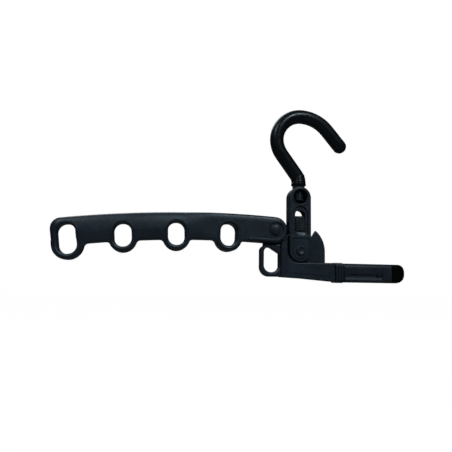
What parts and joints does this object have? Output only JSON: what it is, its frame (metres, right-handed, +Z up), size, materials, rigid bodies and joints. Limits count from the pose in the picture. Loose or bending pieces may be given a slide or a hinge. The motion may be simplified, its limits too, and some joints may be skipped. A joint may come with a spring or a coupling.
{
  "type": "folding garment hanger",
  "caption": "Folding black plastic garment hanger: a swivelling hook over a locking link, a pivoted arm with holes for clothes hangers, and a sliding wall brace.",
  "frame": {"origin": "the point inside the hook's bend that sits on a closet rod or on a door's top edge, in the mid plane", "axes": "+X along the brace towards the wall that its tip presses on, +Y from the front face to the rear, +Z up"},
  "size_m": [0.3569, 0.021, 0.1804],
  "materials": {
    "black_plastic": "moulded, satin, lightly pebbled",
    "hook_plastic": "moulded, satin",
    "lock_plastic": "moulded, satin",
    "black_rubber": "matt",
    "dark_steel": "dark, dull"
  },
  "bodies": {
    "hook": {"hook": "hook_plastic", "swivel_pin": "dark_steel", "swivel_barrel": "black_plastic", "swivel_washer_top": "dark_steel", "swivel_washer_bottom": "dark_steel"},
    "link": {"link": "black_plastic", "link_pivot_pin": "black_plastic", "link_pivot_cap": "black_plastic", "link_pivot_washer_front": "dark_steel", "link_pivot_washer_rear": "dark_steel"},
    "lock": {"lock_slider": "lock_plastic"},
    "bracket": {"bracket": "black_plastic", "arm_pivot_pin": "black_plastic", "arm_pivot_cap": "black_plastic", "arm_pivot_washer_front": "dark_steel", "arm_pivot_washer_rear": "dark_steel", "brace_stop_pin": "dark_steel", "brace_collar": "black_plastic"},
    "arm": {"arm_front_shell": "black_plastic", "arm_rear_shell": "black_plastic", "arm_screw_1": "dark_steel", "arm_screw_2": "dark_steel", "arm_screw_3": "dark_steel", "arm_screw_4": "dark_steel"},
    "brace": {"brace_sleeve": "black_plastic", "brace_tip": "black_rubber"}
  },
  "joints": [
    {"name": "hook_swivel", "type": "hinge", "parent": "hook", "child": "link", "pos_m": [-0.00271, 0, -0.06845], "axis": [0, 0, 1], "continuous": true},
    {"name": "link_fold", "type": "hinge", "parent": "link", "child": "bracket", "pos_m": [-0.00271, 0, -0.13445], "axis": [0, -1, 0], "range_deg": [0, 65]},
    {"name": "lock_slide", "type": "slide", "parent": "link", "child": "lock", "axis": [0, 0, 1], "range_m": [0, 0.006]},
    {"name": "arm_fold", "type": "hinge", "parent": "bracket", "child": "arm", "pos_m": [-0.02871, 0, -0.11415], "axis": [0, 1, 0], "range_deg": [0, 60]},
    {"name": "brace_slide", "type": "slide", "parent": "bracket", "child": "brace", "axis": [1, 0, 0], "range_m": [0, 0.03]}
  ]
}
